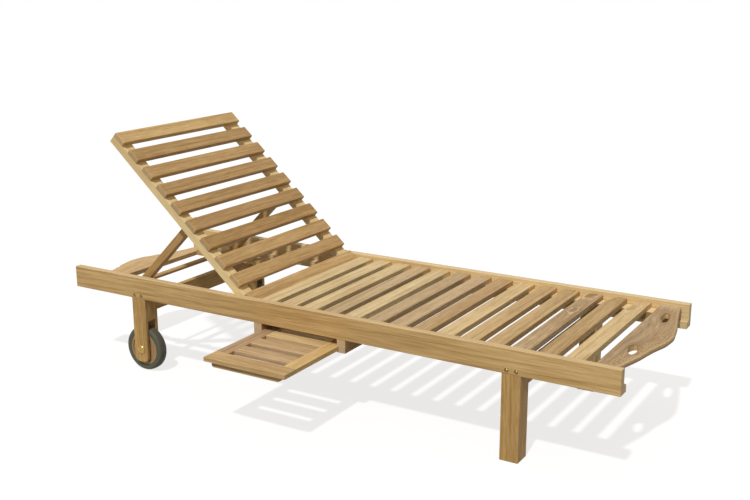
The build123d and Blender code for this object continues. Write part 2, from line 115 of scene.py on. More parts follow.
def planed_teak(node, pale, dark, turn, ring_mm=9.0, figure=1.0, length=1.0, bleach_and_light=0.0, knots=(),
                upper=None, ends=None):
    """Planed teak for one CAD node, as cut from its own log. The turns about Y and then Z lay the grain
    along X, and the growth rings run round a pith line some way under or beside the piece. More figure
    makes the rings wilder, and more length draws the grain out. The bleach is how far upper faces go to
    the upper colour, partly sun bleaching and partly painted light; knots are (x, y, radius), and ends is
    the colour of the end grain."""
    luck = random.Random(node)
    material, tree = start_material(f"planed_teak_{node}")
    low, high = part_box(node)
    slant = luck.uniform(-0.02, 0.02)
    turned = Euler((0, turn[0] + slant, turn[1] + slant))
    pith = Vector((luck.uniform(-1, 1), luck.uniform(-0.05, 0.05), luck.uniform(0.03, 0.11)))
    start = pith - turned.to_matrix() @ ((low + high) / 2)
    source = tree.nodes.new("ShaderNodeTexCoord")
    place = source.outputs["Object"]
    knot_shades = []
    for knot in knots:
        place, near = part_round_knot(tree, place, knot)
        knot_shades.append(near)

    # Along the log the streaks are 33 times as long as wide, the fibres 14 times, the drifts of tone 4 times
    log = add(tree, "ShaderNodeMapping", {"Vector": place, "Location": start, "Rotation": turned})
    drawn_out = add(tree, "ShaderNodeMapping", {"Vector": log, "Scale": (0.03 / length, 1, 1)})
    flecked = add(tree, "ShaderNodeMapping", {"Vector": log, "Scale": (0.07 / length, 1, 1)})
    broad = add(tree, "ShaderNodeMapping", {"Vector": log, "Scale": (0.25, 1, 1)})

    # Growth rings: a slow pale part and a dark line, wandering a little along the log. At a scale of 1 this
    # texture's waves are 2 pi / 20 m long.
    ring_scale = 2 * math.pi / 20 / (ring_mm / 1000)
    rings = add(tree, "ShaderNodeTexWave",
                {"Vector": drawn_out, "Scale": ring_scale, "Distortion": 6.0 * figure, "Detail": 3.0,
                 "Detail Scale": 0.35}, out="Fac", wave_type="RINGS", rings_direction="X", wave_profile="SAW")
    lines = add(tree, "ShaderNodeMath", {0: rings, 1: 2.0}, operation="POWER")

    # Streaks of 14 mm, and pores and fibres drawn 4 mm wide so that they show from a few metres away
    streak = add(tree, "ShaderNodeTexNoise", {"Vector": drawn_out, "Scale": 1 / 0.014, "Detail": 2.0},
                 out="Fac")
    fibre = add(tree, "ShaderNodeTexNoise", {"Vector": flecked, "Scale": 1 / 0.004, "Detail": 4.0,
                                             "Roughness": 0.65}, out="Fac")
    drift = add(tree, "ShaderNodeTexNoise", {"Vector": broad, "Scale": 1 / 0.09, "Detail": 2.0}, out="Fac")
    shade = add(tree, "ShaderNodeMath", {0: lines, 1: 0.35 * figure, 2: -1.65}, operation="MULTIPLY_ADD")
    shade = add(tree, "ShaderNodeMath", {0: streak, 1: 1.3, 2: shade}, operation="MULTIPLY_ADD")
    shade = add(tree, "ShaderNodeMath", {0: fibre, 1: 2.0, 2: shade}, operation="MULTIPLY_ADD")
    for near in knot_shades:
        shade = add(tree, "ShaderNodeMath", {0: shade, 1: near}, operation="ADD")
    shade = add(tree, "ShaderNodeMath", {0: drift, 1: 0.8, 2: shade}, operation="MULTIPLY_ADD",
                use_clamp=True)
    face = add(tree, "ShaderNodeMix", {0: shade, 6: linear(pale), 7: linear(dark)}, out=2, data_type="RGBA")
    warmth = add(tree, "ShaderNodeMapRange", {0: drift, 1: 0.5, 2: 0.72, 3: 0.0, 4: 0.25})
    face = add(tree, "ShaderNodeMix", {0: warmth, 6: face, 7: linear(ROSY)}, out=2, data_type="RGBA")

    # Upper faces go paler, partly sun bleaching and partly painted light; end grain is darker and greyer, and
    # the sanded arrises are paler, partly wear and partly a painted highlight
    up = tree.nodes.new("ShaderNodeSeparateXYZ")
    tree.links.new(source.outputs["Normal"], up.inputs[0])
    bleached_and_lit_share = add(tree, "ShaderNodeMapRange", {0: up.outputs[2], 1: 0.6, 2: 0.95, 3: 0.0, 4: bleach_and_light})
    face = add(tree, "ShaderNodeMix", {0: bleached_and_lit_share, 6: face, 7: linear(upper or BLEACHED_AND_LIT)}, out=2,
               data_type="RGBA")
    normal = add(tree, "ShaderNodeMapping", {"Vector": source.outputs["Normal"], "Rotation": turned},
                 vector_type="VECTOR")
    normal = add(tree, "ShaderNodeVectorMath", {0: normal}, operation="ABSOLUTE")
    axes = tree.nodes.new("ShaderNodeSeparateXYZ")
    tree.links.new(normal, axes.inputs[0])
    across = add(tree, "ShaderNodeMath", {0: axes.outputs[1], 1: axes.outputs[2]}, operation="MAXIMUM")
    flat = add(tree, "ShaderNodeMath", {0: across, 1: axes.outputs[0]}, operation="MAXIMUM")
    end = add(tree, "ShaderNodeMapRange", {0: axes.outputs[0], 1: 0.6, 2: 0.95, 3: 0.0, 4: 0.5},
              interpolation_type="SMOOTHSTEP")
    # Paler arrises: partly wear, partly a painted highlight
    worn_and_highlit_arris = add(tree, "ShaderNodeMapRange", {0: flat, 1: 0.8, 2: 0.97, 3: 0.5, 4: 0.0},
                interpolation_type="SMOOTHSTEP")
    colour = add(tree, "ShaderNodeMix", {0: worn_and_highlit_arris, 6: face, 7: linear(pale)}, out=2, data_type="RGBA")
    colour = add(tree, "ShaderNodeMix", {0: end, 6: colour, 7: linear(ends or END_GRAIN)}, out=2,
                 data_type="RGBA")

    relief = add(tree, "ShaderNodeMath", {0: lines, 1: 0.5, 2: fibre}, operation="MULTIPLY_ADD")
    bump = add(tree, "ShaderNodeBump", {"Height": relief, "Strength": 0.3, "Distance": 0.0006})
    roughness = add(tree, "ShaderNodeMapRange", {0: fibre, 1: 0.3, 2: 0.7, 3: 0.55, 4: 0.72})
    shader = add(tree, "ShaderNodeBsdfPrincipled",
                 {"Base Color": colour, "Roughness": roughness, "Normal": bump, "IOR": 1.45})
    add(tree, "ShaderNodeOutputMaterial", {"Surface": shader})
    dress(node, material)


END_GRAIN = "#bba37d"
ROSY = "#ba9066"
# The colour upper faces go to: partly sun bleaching, partly painted light
BLEACHED_AND_LIT = "#d6c09a"
TAN = ("#dab87f", "#a78148")
FAR_TAN = ("#ead09e", "#ccab75")
ALONG_X = (0, 0)
ALONG_Y = (0, math.radians(-90))
ALONG_Z = (math.radians(90), 0)
# The rails' upper faces go part way to the paler colour: partly sun bleaching, partly painted light
planed_teak("right_rail", *TAN, ALONG_X, ring_mm=12.0, length=2.0, bleach_and_light=0.45)
planed_teak("left_rail", *FAR_TAN, ALONG_X, ring_mm=12.0, length=2.0, bleach_and_light=0.85)


# Legs and stretchers
# Square posts lap behind the rails and are screwed through them; at the head end they are forked for the
# wheels. A stretcher joins each pair. Their grain runs along their length.
LEG_TAN = ("#d0ab6d", "#9e773f")
for side in ("right", "left"):
    planed_teak(f"{side}_front_leg", *LEG_TAN, ALONG_Z)
    planed_teak(f"{side}_wheel_leg", *LEG_TAN, ALONG_Z)
for end in ("front", "rear"):
    planed_teak(f"{end}_stretcher", *LEG_TAN, ALONG_Y)


# Wheels
# A moulded rubber tyre sits on a turned wooden disc, which runs on a brass bolt through the fork.
# The rubber is dull dark grey with pale dust on it and soil on its tread, and the disc is oiled brown.


def moulded_rubber(name):
    """Natural rubber from a mould, dulled by dust that lies in faint blotches."""
    material, tree = start_material(name)
    source = tree.nodes.new("ShaderNodeTexCoord")
    dust = add(tree, "ShaderNodeTexNoise", {"Vector": source.outputs["Object"], "Scale": 1 / 0.02,
                                            "Detail": 4.0}, out="Fac")
    grit = add(tree, "ShaderNodeTexNoise", {"Vector": source.outputs["Object"], "Scale": 1 / 0.0015,
                                            "Detail": 1.0}, out="Fac")
    tread = add(tree, "ShaderNodeAttribute", {}, out="Fac", attribute_name="tread")
    colour = add(tree, "ShaderNodeMix", {0: dust, 6: linear("#454637"), 7: linear("#5f604e")}, out=2,
                 data_type="RGBA")
    soiled = add(tree, "ShaderNodeMath", {0: dust, 1: tread}, operation="MULTIPLY")
    soiled = add(tree, "ShaderNodeMath", {0: soiled, 1: 1.4}, operation="MULTIPLY", use_clamp=True)
    colour = add(tree, "ShaderNodeMix", {0: soiled, 6: colour, 7: linear("#544f41")}, out=2,
                 data_type="RGBA")
    bump = add(tree, "ShaderNodeBump", {"Height": grit, "Strength": 0.25, "Distance": 0.0003})
    roughness = add(tree, "ShaderNodeMapRange", {0: dust, 1: 0.3, 2: 0.7, 3: 0.6, 4: 0.85})
    shader = add(tree, "ShaderNodeBsdfPrincipled",
                 {"Base Color": colour, "Roughness": roughness, "Normal": bump, "IOR": 1.52})
    add(tree, "ShaderNodeOutputMaterial", {"Surface": shader})
    return material


def satin_brass(name, bright, dull):
    """Turned brass that has dulled outdoors: warm metal, with brown tarnish in patches of 6 mm."""
    material, tree = start_material(name)
    source = tree.nodes.new("ShaderNodeTexCoord")
    tarnish = add(tree, "ShaderNodeTexNoise", {"Vector": source.outputs["Object"], "Scale": 1 / 0.006,
                                               "Detail": 4.0}, out="Fac")
    tarnished = add(tree, "ShaderNodeMapRange", {0: tarnish, 1: 0.2, 2: 0.8, 3: 0.0, 4: 1.0})
    colour = add(tree, "ShaderNodeMix", {0: tarnished, 6: linear(bright), 7: linear(dull)}, out=2,
                 data_type="RGBA")
    roughness = add(tree, "ShaderNodeMapRange", {0: tarnish, 1: 0.3, 2: 0.7, 3: 0.18, 4: 0.35})
    shader = add(tree, "ShaderNodeBsdfPrincipled",
                 {"Base Color": colour, "Metallic": 1.0, "Roughness": roughness})
    add(tree, "ShaderNodeOutputMaterial", {"Surface": shader})
    return material


DISC_BROWN = ("#b9986d", "#8f6e48")
rubber = moulded_rubber("moulded_rubber")
brass = satin_brass("satin_brass", "#cfb068", "#8a7038")
AXLE_X, AXLE_Z, WHEEL_Y = -0.708, 0.079, 0.310
TYRE_STEPS = 96
TREAD_FROM, TREAD_BLEND = 0.0735, 0.004

# The tyre's section, in millimetres out from its middle and from the axle: the bead, a shallow groove
# in the side wall, the shoulder and one of two lines round the tread
TYRE_SIDE = ((15.5, 58.0), (17.3, 58.6), (18.0, 60.4), (17.5, 62.2), (17.1, 63.6), (17.6, 65.0), (18.0, 67.0),
             (17.8, 70.0), (16.8, 73.2), (14.6, 76.0), (11.6, 77.8), (8.2, 78.6), (6.8, 78.7), (6.3, 77.8),
             (5.5, 77.8), (5.0, 78.8))
tyre_section = [(-out, rise) for out, rise in TYRE_SIDE] + [(0, 79.0)]
tyre_section += list(reversed(TYRE_SIDE)) + [(0, 58.0)]
bpy.ops.object.select_all(action="DESELECT")
bpy.ops.mesh.primitive_circle_add(vertices=len(tyre_section))
tyre = bpy.context.object
tyre.name = "right_rubber_tyre"
for vertex, (out, rise) in zip(tyre.data.vertices, tyre_section):
    vertex.co = (AXLE_X, out / 1000 - WHEEL_Y, AXLE_Z + rise / 1000)
bpy.ops.object.mode_set(mode="EDIT")
bpy.ops.mesh.select_all(action="SELECT")
bpy.ops.mesh.spin(steps=TYRE_STEPS, angle=2 * math.pi, center=(AXLE_X, -WHEEL_Y, AXLE_Z), axis=(0, 1, 0))
bpy.ops.mesh.select_all(action="SELECT")
bpy.ops.mesh.remove_doubles(threshold=0.00001)
bpy.ops.mesh.normals_make_consistent(inside=False)
bpy.ops.object.mode_set(mode="OBJECT")
bpy.ops.object.shade_smooth_by_angle(angle=math.radians(35))
tyre.data.materials.append(rubber)

# Soil lies on the tread alone, which begins at the shoulder
rises = [math.hypot(vertex.co.x - AXLE_X, vertex.co.z - AXLE_Z) for vertex in tyre.data.vertices]
tread = tyre.data.attributes.new("tread", "FLOAT", "POINT")
tread.data.foreach_set("value", [min(1.0, max(0.0, (rise - TREAD_FROM) / TREAD_BLEND)) for rise in rises])

# The left tyre is a copy, moved across to the other side
bpy.ops.object.duplicate()
left_tyre = bpy.context.object
left_tyre.name = "left_rubber_tyre"
bpy.ops.object.mode_set(mode="EDIT")
bpy.ops.mesh.select_all(action="SELECT")
bpy.ops.transform.translate(value=(0, 2 * WHEEL_Y, 0))
bpy.ops.object.mode_set(mode="OBJECT")
for side, piece in (("right", tyre), ("left", left_tyre)):
    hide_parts(f"{side}_tyre")
    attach(piece, f"{side}_wheel")
    planed_teak(f"{side}_wheel_disc", *DISC_BROWN, ALONG_Z)


def pick_faces(piece, wanted):
    """Go into edit mode on a piece with the faces selected that a test picks out."""
    bpy.context.view_layer.objects.active = piece
    bpy.ops.object.mode_set(mode="EDIT")
    bpy.ops.mesh.select_mode(type="FACE")
    bpy.ops.mesh.select_all(action="DESELECT")
    bpy.ops.object.mode_set(mode="OBJECT")
    for face in piece.data.polygons:
        face.select = wanted(face)
    bpy.ops.object.mode_set(mode="EDIT")


def join_turned_copies(name, models, moves):
    """Copy the models once for each move, each copy with its own mesh, and join the copies to one piece."""
    copies = []
    for move in moves:
        for model in models:
            copy = model.copy()
            copy.data = model.data.copy()
            bpy.context.collection.objects.link(copy)
            copy.data.transform(move)
            copies.append(copy)
    for model in models:
        bpy.data.objects.remove(model)
    bpy.ops.object.select_all(action="DESELECT")
    for copy in copies:
        copy.select_set(True)
    bpy.context.view_layer.objects.active = copies[0]
    bpy.ops.object.join()
    joined = bpy.context.object
    joined.name = name
    bpy.ops.object.shade_smooth_by_angle(angle=math.radians(30))
    return joined


# Each bolt has a round head with a domed face, a plain shank, and a nut on the fork's inner cheek. The left
# one is a copy of the right one, turned half round.
BOLT_HEAD, BOLT_RIM, BOLT_SHANK, BOLT_SIDES, BOLT_CHAMFER = 0.0155, 0.0014, 0.0060, 48, 0.0012
CHEEK_OUT, CHEEK_IN, NUT_HIGH, NUT_ROUND, NUT_BEVEL = 0.340, 0.280, 0.009, 0.0104, 0.0008
DOME_STEPS = ((0.0003, 0.0003), (0.0011, 0.0012), (0.0016, 0.0014), (0.0023, 0.0015), (0.0029, 0.0012),
              (0.0032, 0.0007), (0.0026, 0.0002))
ACROSS = (math.pi / 2, 0, 0)
bpy.ops.object.select_all(action="DESELECT")
bpy.ops.mesh.primitive_cylinder_add(vertices=BOLT_SIDES, radius=BOLT_HEAD, depth=BOLT_RIM, rotation=ACROSS,
                                    location=(AXLE_X, -CHEEK_OUT - BOLT_RIM / 2, AXLE_Z))
bolt = bpy.context.object
bpy.ops.object.transform_apply(location=True, rotation=True)
for facing, steps in ((-1, DOME_STEPS), (1, ((BOLT_HEAD - BOLT_SHANK, 0.0),))):
    pick_faces(bolt, lambda face: len(face.vertices) == BOLT_SIDES and face.normal.y * facing > 0.9)
    for narrower, raised in steps:
        bpy.ops.mesh.inset(thickness=narrower, depth=raised)
    bpy.ops.object.mode_set(mode="OBJECT")
bpy.ops.object.mode_set(mode="EDIT")
bpy.ops.mesh.extrude_region_move(TRANSFORM_OT_translate={"value": (0, CHEEK_OUT - CHEEK_IN + NUT_HIGH, 0)})
bpy.ops.mesh.inset(thickness=BOLT_CHAMFER, depth=BOLT_CHAMFER)
bpy.ops.object.mode_set(mode="OBJECT")
bpy.ops.mesh.primitive_cylinder_add(vertices=6, radius=NUT_ROUND, depth=NUT_HIGH, rotation=ACROSS,
                                    location=(AXLE_X, -CHEEK_IN + NUT_HIGH / 2, AXLE_Z))
nut = bpy.context.object
bpy.ops.object.transform_apply(location=True, rotation=True)
bpy.ops.object.mode_set(mode="EDIT")
bpy.ops.mesh.select_all(action="SELECT")
bpy.ops.mesh.bevel(offset=NUT_BEVEL, segments=2)
bpy.ops.object.mode_set(mode="OBJECT")
half_turn = Matrix.Translation((2 * AXLE_X, 0, 0)) @ Matrix.Rotation(math.pi, 4, "Z")
bolts = join_turned_copies("brass_axle_bolts", (bolt, nut), (Matrix(), half_turn))
bolts.data.materials.append(brass)
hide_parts("axle_bolts")
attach(bolts, "frame")


# Leg screws
# Two brass screws go through the rail into each leg. Their domed heads have a cross recess, and sit in
# round holes, just proud of the rail's face. Their brass is darker than the axle bolts': partly tarnish,
# partly painted shade.
SCREW_HEAD, SCREW_SHANK, SCREW_SIDES = 0.0054, 0.0025, 32
CROSS_LONG, CROSS_WIDE, CROSS_DEEP, CROSS_PROUD = 0.0046, 0.0011, 0.0036, 0.0026
SCREW_X, SCREW_Z = (-0.723, -0.693, 0.671, 0.701), 0.275
SCREW_FACE, SCREW_SEAT, SCREW_TIP = 0.3386, 0.3346, 0.2920
SCREW_DOME = ((0.0004, 0.0004), (0.0008, 0.00065), (0.0010, 0.0006), (0.0012, 0.00046), (0.0012, 0.0002))
bpy.ops.object.select_all(action="DESELECT")
bpy.ops.mesh.primitive_cylinder_add(vertices=SCREW_SIDES, radius=SCREW_HEAD, depth=SCREW_FACE - SCREW_SEAT,
                                    rotation=ACROSS, location=(0, -(SCREW_FACE + SCREW_SEAT) / 2, 0))
screw = bpy.context.object
bpy.ops.object.transform_apply(location=True, rotation=True)
for facing, steps in ((-1, SCREW_DOME), (1, ((SCREW_HEAD - SCREW_SHANK, 0.0),))):
    pick_faces(screw, lambda face: len(face.vertices) == SCREW_SIDES and face.normal.y * facing > 0.9)
    for narrower, raised in steps:
        bpy.ops.mesh.inset(thickness=narrower, depth=raised)
    bpy.ops.object.mode_set(mode="OBJECT")
bpy.ops.object.mode_set(mode="EDIT")
bpy.ops.mesh.extrude_region_move(TRANSFORM_OT_translate={"value": (0, SCREW_SEAT - SCREW_TIP, 0)})
bpy.ops.object.mode_set(mode="OBJECT")
for wide, high in ((CROSS_LONG, CROSS_WIDE), (CROSS_WIDE, CROSS_LONG)):
    bpy.ops.mesh.primitive_cube_add(size=1, location=(0, -SCREW_FACE - CROSS_PROUD, 0),
                                    scale=(wide, CROSS_DEEP, high))
    blade = bpy.context.object
    bpy.context.view_layer.objects.active = screw
    cut = screw.modifiers.new("recess", "BOOLEAN")
    cut.object = blade
    bpy.ops.object.modifier_apply(modifier=cut.name)
    bpy.data.objects.remove(blade)
moves = [Matrix.Translation((x, 0, SCREW_Z)) @ Matrix.Rotation(turn, 4, "Z") for turn in (0, math.pi)
         for x in SCREW_X]
screws = join_turned_copies("brass_leg_screws", (screw,), moves)
# Darker brass than the axle bolts: partly tarnish, partly painted shade
screws.data.materials.append(satin_brass("tarnished_and_shaded_brass", "#b2965a", "#725c36"))
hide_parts("leg_screws")
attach(screws, "frame")


# Racks and tray runners
# Teak battens with sawn notches lie along the rails' inner sides and take the prop's bar. Two grooved
# teak bars are fixed under the rails and carry the tray. Their tone is darkened as painted shade on their
# sides, so their sawn ends are paler than their sides.
for side in ("right", "left"):
    planed_teak(f"{side}_rack", *TAN, ALONG_X)
# The runners' tone is darkened as painted shade on their sides; their end grain keeps a paler colour
RUNNER_SHADED_BROWN = ("#bc935a", "#8a6230")
for end in ("head", "foot"):
    planed_teak(f"tray_{end}_runner", *RUNNER_SHADED_BROWN, ALONG_Y, ends="#dec9a9")


# Seat panel
# Fourteen slats lie across two bearers, planed and sanded, each from a different board, so that pale,
# tan, pinkish and brown ones lie side by side.
PALE = ("#e2c99a", "#b89d6e")
DUSKY = ("#d0b58c", "#a5875f")
RUSSET = ("#c9a878", "#9d7b4d")
HONEY = ("#e1c492", "#b79866")
AMBER = ("#d4b381", "#a78755")
DEEP = ("#d6b98d", "#8d7049")
BROWN = ("#c7a674", "#997949")
BEARER_SHADE = ("#ab8d5c", "#84683d")
UMBER = ("#c6ab82", "#9b7d55")
TOFFEE = ("#ccab79", "#9f7f4d")
SEAT_TONES = (PALE, PALE, PALE, DUSKY, PALE, UMBER, DUSKY, RUSSET, HONEY, AMBER, TOFFEE, DEEP, BROWN, HONEY)
SEAT_KNOTS = {12: ((0.690, 0.285, 0.014), (0.694, 0.11, 0.009)), 14: ((0.845, 0.225, 0.013),)}
# The bearers' tone is darkened as painted shade on their sides, and their upper faces go nearly all the way
# to a pale colour as painted light
for side in ("right", "left"):
    planed_teak(f"{side}_seat_bearer", *BEARER_SHADE, ALONG_X, bleach_and_light=0.9, upper="#f2d6a6")
for number, tone in enumerate(SEAT_TONES, 1):
    planed_teak(f"seat_slat_{number:02d}", *tone, ALONG_Y, figure=1.6 if number > 11 else 1.0,
                knots=SEAT_KNOTS.get(number, ()))


# Foot board
# A weathered plank with its bark edge left on, laid over the bearers' ends. Its grain parts round two
# knots that have fallen out, and its wavy edge is rolled off where the bark was.
KNOT_LEAN, KNOT_RAGGED = math.radians(9), 0.12
WAVE_BLUR, BLUR_STEPS, EDGE_RIPPLE = 0.022, range(-4, 5), 0.002
EDGE_ROLL, EDGE_DROP, UNDER_ROLL, UNDER_RISE, EDGE_BULGE = 0.008, 0.0045, 0.006, 0.003, 0.002
SAPWOOD_WIDE, BLEACHED_END, GRAIN_WIDE, GRAIN_DEEP = 0.050, 0.06, 0.1, 0.25
# The middle value is how far under the top the painted shade on the live edge's side begins
CORE_BELOW, SHADED_SIDE_BELOW, SIDE_BLEND = 0.001, 0.0015, 0.003


def live_edge_board(name, body, inner, width, half, top, bottom, wave, knots=()):
    """A closed plank mesh across the frame, from its straight inner edge out to its live one. The wave runs
    from its left end, as shares of its half length and of its greatest width; knots are (x, y, half width,
    half length), and go right through."""
    across, along, layers = 44, 190, 4
    bpy.ops.object.select_all(action="DESELECT")
    bpy.ops.mesh.primitive_grid_add(x_subdivisions=across, y_subdivisions=along, size=1,
                                    location=(0.5, 0, 0))
    board = bpy.context.object
    board.name = name
    bpy.ops.object.transform_apply(location=True)
    bpy.ops.object.mode_set(mode="EDIT")
    for _ in range(layers):
        bpy.ops.mesh.extrude_region_move(TRANSFORM_OT_translate={"value": (0, 0, -1 / layers)})
    bpy.ops.mesh.select_all(action="SELECT")
    bpy.ops.mesh.normals_make_consistent(inside=False)
    bpy.ops.object.mode_set(mode="OBJECT")

    def wide_at(y):
        """The plank's width at a place along it, with the corners of the wave's points taken off."""
        total = 0.0
        for shift in BLUR_STEPS:
            spot = min(max(y / half + shift * WAVE_BLUR, -1.0), 1.0)
            for (a, wide_a), (b, wide_b) in zip(wave, wave[1:]):
                if b <= spot <= a:
                    total += wide_a + (wide_b - wide_a) * (a - spot) / (a - b)
                    break
        ripple = EDGE_RIPPLE * noise.noise(Vector((y * 22, inner, 0)))
        return abs(width) * total / len(BLUR_STEPS) + ripple

    # Lay the plain slab out on the plank's outline, and roll its live edge off unevenly
    for vertex in board.data.vertices:
        u, y, down = vertex.co.x, vertex.co.y * 2 * half, -vertex.co.z
        wide = wide_at(y)
        uneven = noise.noise(Vector((y * 40, inner, 5)))
        from_edge = (1 - u) * wide
        roll = max(0.0, 1 - from_edge / (EDGE_ROLL * (1 + 0.5 * uneven)))
        under = max(0.0, 1 - from_edge / UNDER_ROLL)
        upper = top - EDGE_DROP * (1 + 0.5 * uneven) * roll ** 2
        lower = bottom + UNDER_RISE * under ** 2
        bulge = EDGE_BULGE * math.sin(math.pi * down) * (1 if u > 0.999 else 0)
        vertex.co = (inner + math.copysign(u * wide + bulge, width), y, upper + (lower - upper) * down)

    # Cut each knot hole: the faces inside its ragged rim go, the rim's corners move onto it, and the rims of
    # the upper and lower side are bridged
    for knot_x, knot_y, knot_wide, knot_long in knots:
        ragged = []
        for degree in range(360):
            turn = math.radians(degree)
            spot = Vector((math.cos(turn) * 1.5, math.sin(turn) * 1.5, knot_y * 9))
            ragged.append(1 + KNOT_RAGGED * noise.noise(spot))

        def outside(point):
            """How far a point lies out from the knot's rim, as a share."""
            spot = Matrix.Rotation(-KNOT_LEAN, 2) @ Vector((point.x - knot_x, point.y - knot_y))
            x, y = spot.x / knot_wide, spot.y / knot_long
            return math.hypot(x, y) / ragged[int(math.degrees(math.atan2(y, x))) % 360]

        flat = [face for face in board.data.polygons if abs(face.normal.z) > 0.8]
        chosen = [face for face in flat if outside(face.center) < 1]
        rim = {corner for face in chosen for corner in face.vertices}
        kept = {corner for face in flat if face not in chosen for corner in face.vertices}
        for corner in rim & kept:
            point = board.data.vertices[corner].co
            gap = outside(point)
            point.x = knot_x + (point.x - knot_x) / gap
            point.y = knot_y + (point.y - knot_y) / gap
        for item in (board.data.vertices, board.data.edges, board.data.polygons):
            item.foreach_set("select", [False] * len(item))
        for face in chosen:
            face.select = True
        bpy.ops.object.mode_set(mode="EDIT")
        bpy.ops.mesh.select_mode(type="FACE")
        bpy.ops.mesh.delete(type="FACE")
        bpy.ops.mesh.select_mode(type="EDGE")
        bpy.ops.mesh.select_non_manifold()
        bpy.ops.mesh.bridge_edge_loops(number_cuts=4)
        bpy.ops.object.mode_set(mode="OBJECT")

    # Values for the material: the grain line, nearness to the live edge or to the bleached left end, where a
    # paler strip is partly a painted highlight, the sapwood behind that edge, nearness to a knot, the bare
    # wood in a knot, and the side where the bark was, which is painted darker as shade
    values = {"grain": [], "wane_and_highlight": [], "sap": [], "knot": [], "bore": [], "side": []}
    for vertex in board.data.vertices:
        x, y, z = vertex.co
        wide = wide_at(y)
        u = abs(x - inner) / wide
        line = u * GRAIN_WIDE + GRAIN_DEEP * (top - z)
        near = bore = 0.0
        for knot_x, knot_y, knot_wide, knot_long in knots:
            middle = abs(knot_x - inner) / wide * GRAIN_WIDE
            spot = Matrix.Rotation(-KNOT_LEAN, 2) @ Vector((x - knot_x, y - knot_y))
            apart = math.hypot(spot.x / (knot_wide + 0.004), spot.y / (knot_long + 0.010))
            line = middle + (line - middle) * (1 - 0.85 / max(apart, 1.0) ** 2)
            near = max(near, math.exp(-2.6 * max(apart - 0.9, 0.0)))
            if apart < 1.05:
                bore = min(1.0, max(0.0, (top - z - CORE_BELOW) / SIDE_BLEND))
        tip = max(0.0, 1 - (half - y) / BLEACHED_END)
        roll = max(0.9 * tip, 1 - (1 - u) * wide / EDGE_ROLL)
        sap = max(0.0, 1 - (1 - u) * wide / SAPWOOD_WIDE)
        # Painted shade on the side face under the live edge, from a little under the top
        side = min(1.0, max(0.0, (top - z - SHADED_SIDE_BELOW) / SIDE_BLEND)) if u > 0.985 else 0.0
        for kind, value in (("grain", line), ("wane_and_highlight", roll), ("sap", sap), ("knot", near), ("bore", bore),
                            ("side", side)):
            values[kind].append(value)
    for kind, listed in values.items():
        board.data.attributes.new(kind, "FLOAT", "POINT").data.foreach_set("value", listed)

    bpy.ops.object.mode_set(mode="EDIT")
    bpy.ops.mesh.select_all(action="SELECT")
    bpy.ops.mesh.normals_make_consistent(inside=False)
    bpy.ops.object.mode_set(mode="OBJECT")
    bpy.ops.object.shade_smooth_by_angle(angle=math.radians(40))
    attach(board, body)
    return board


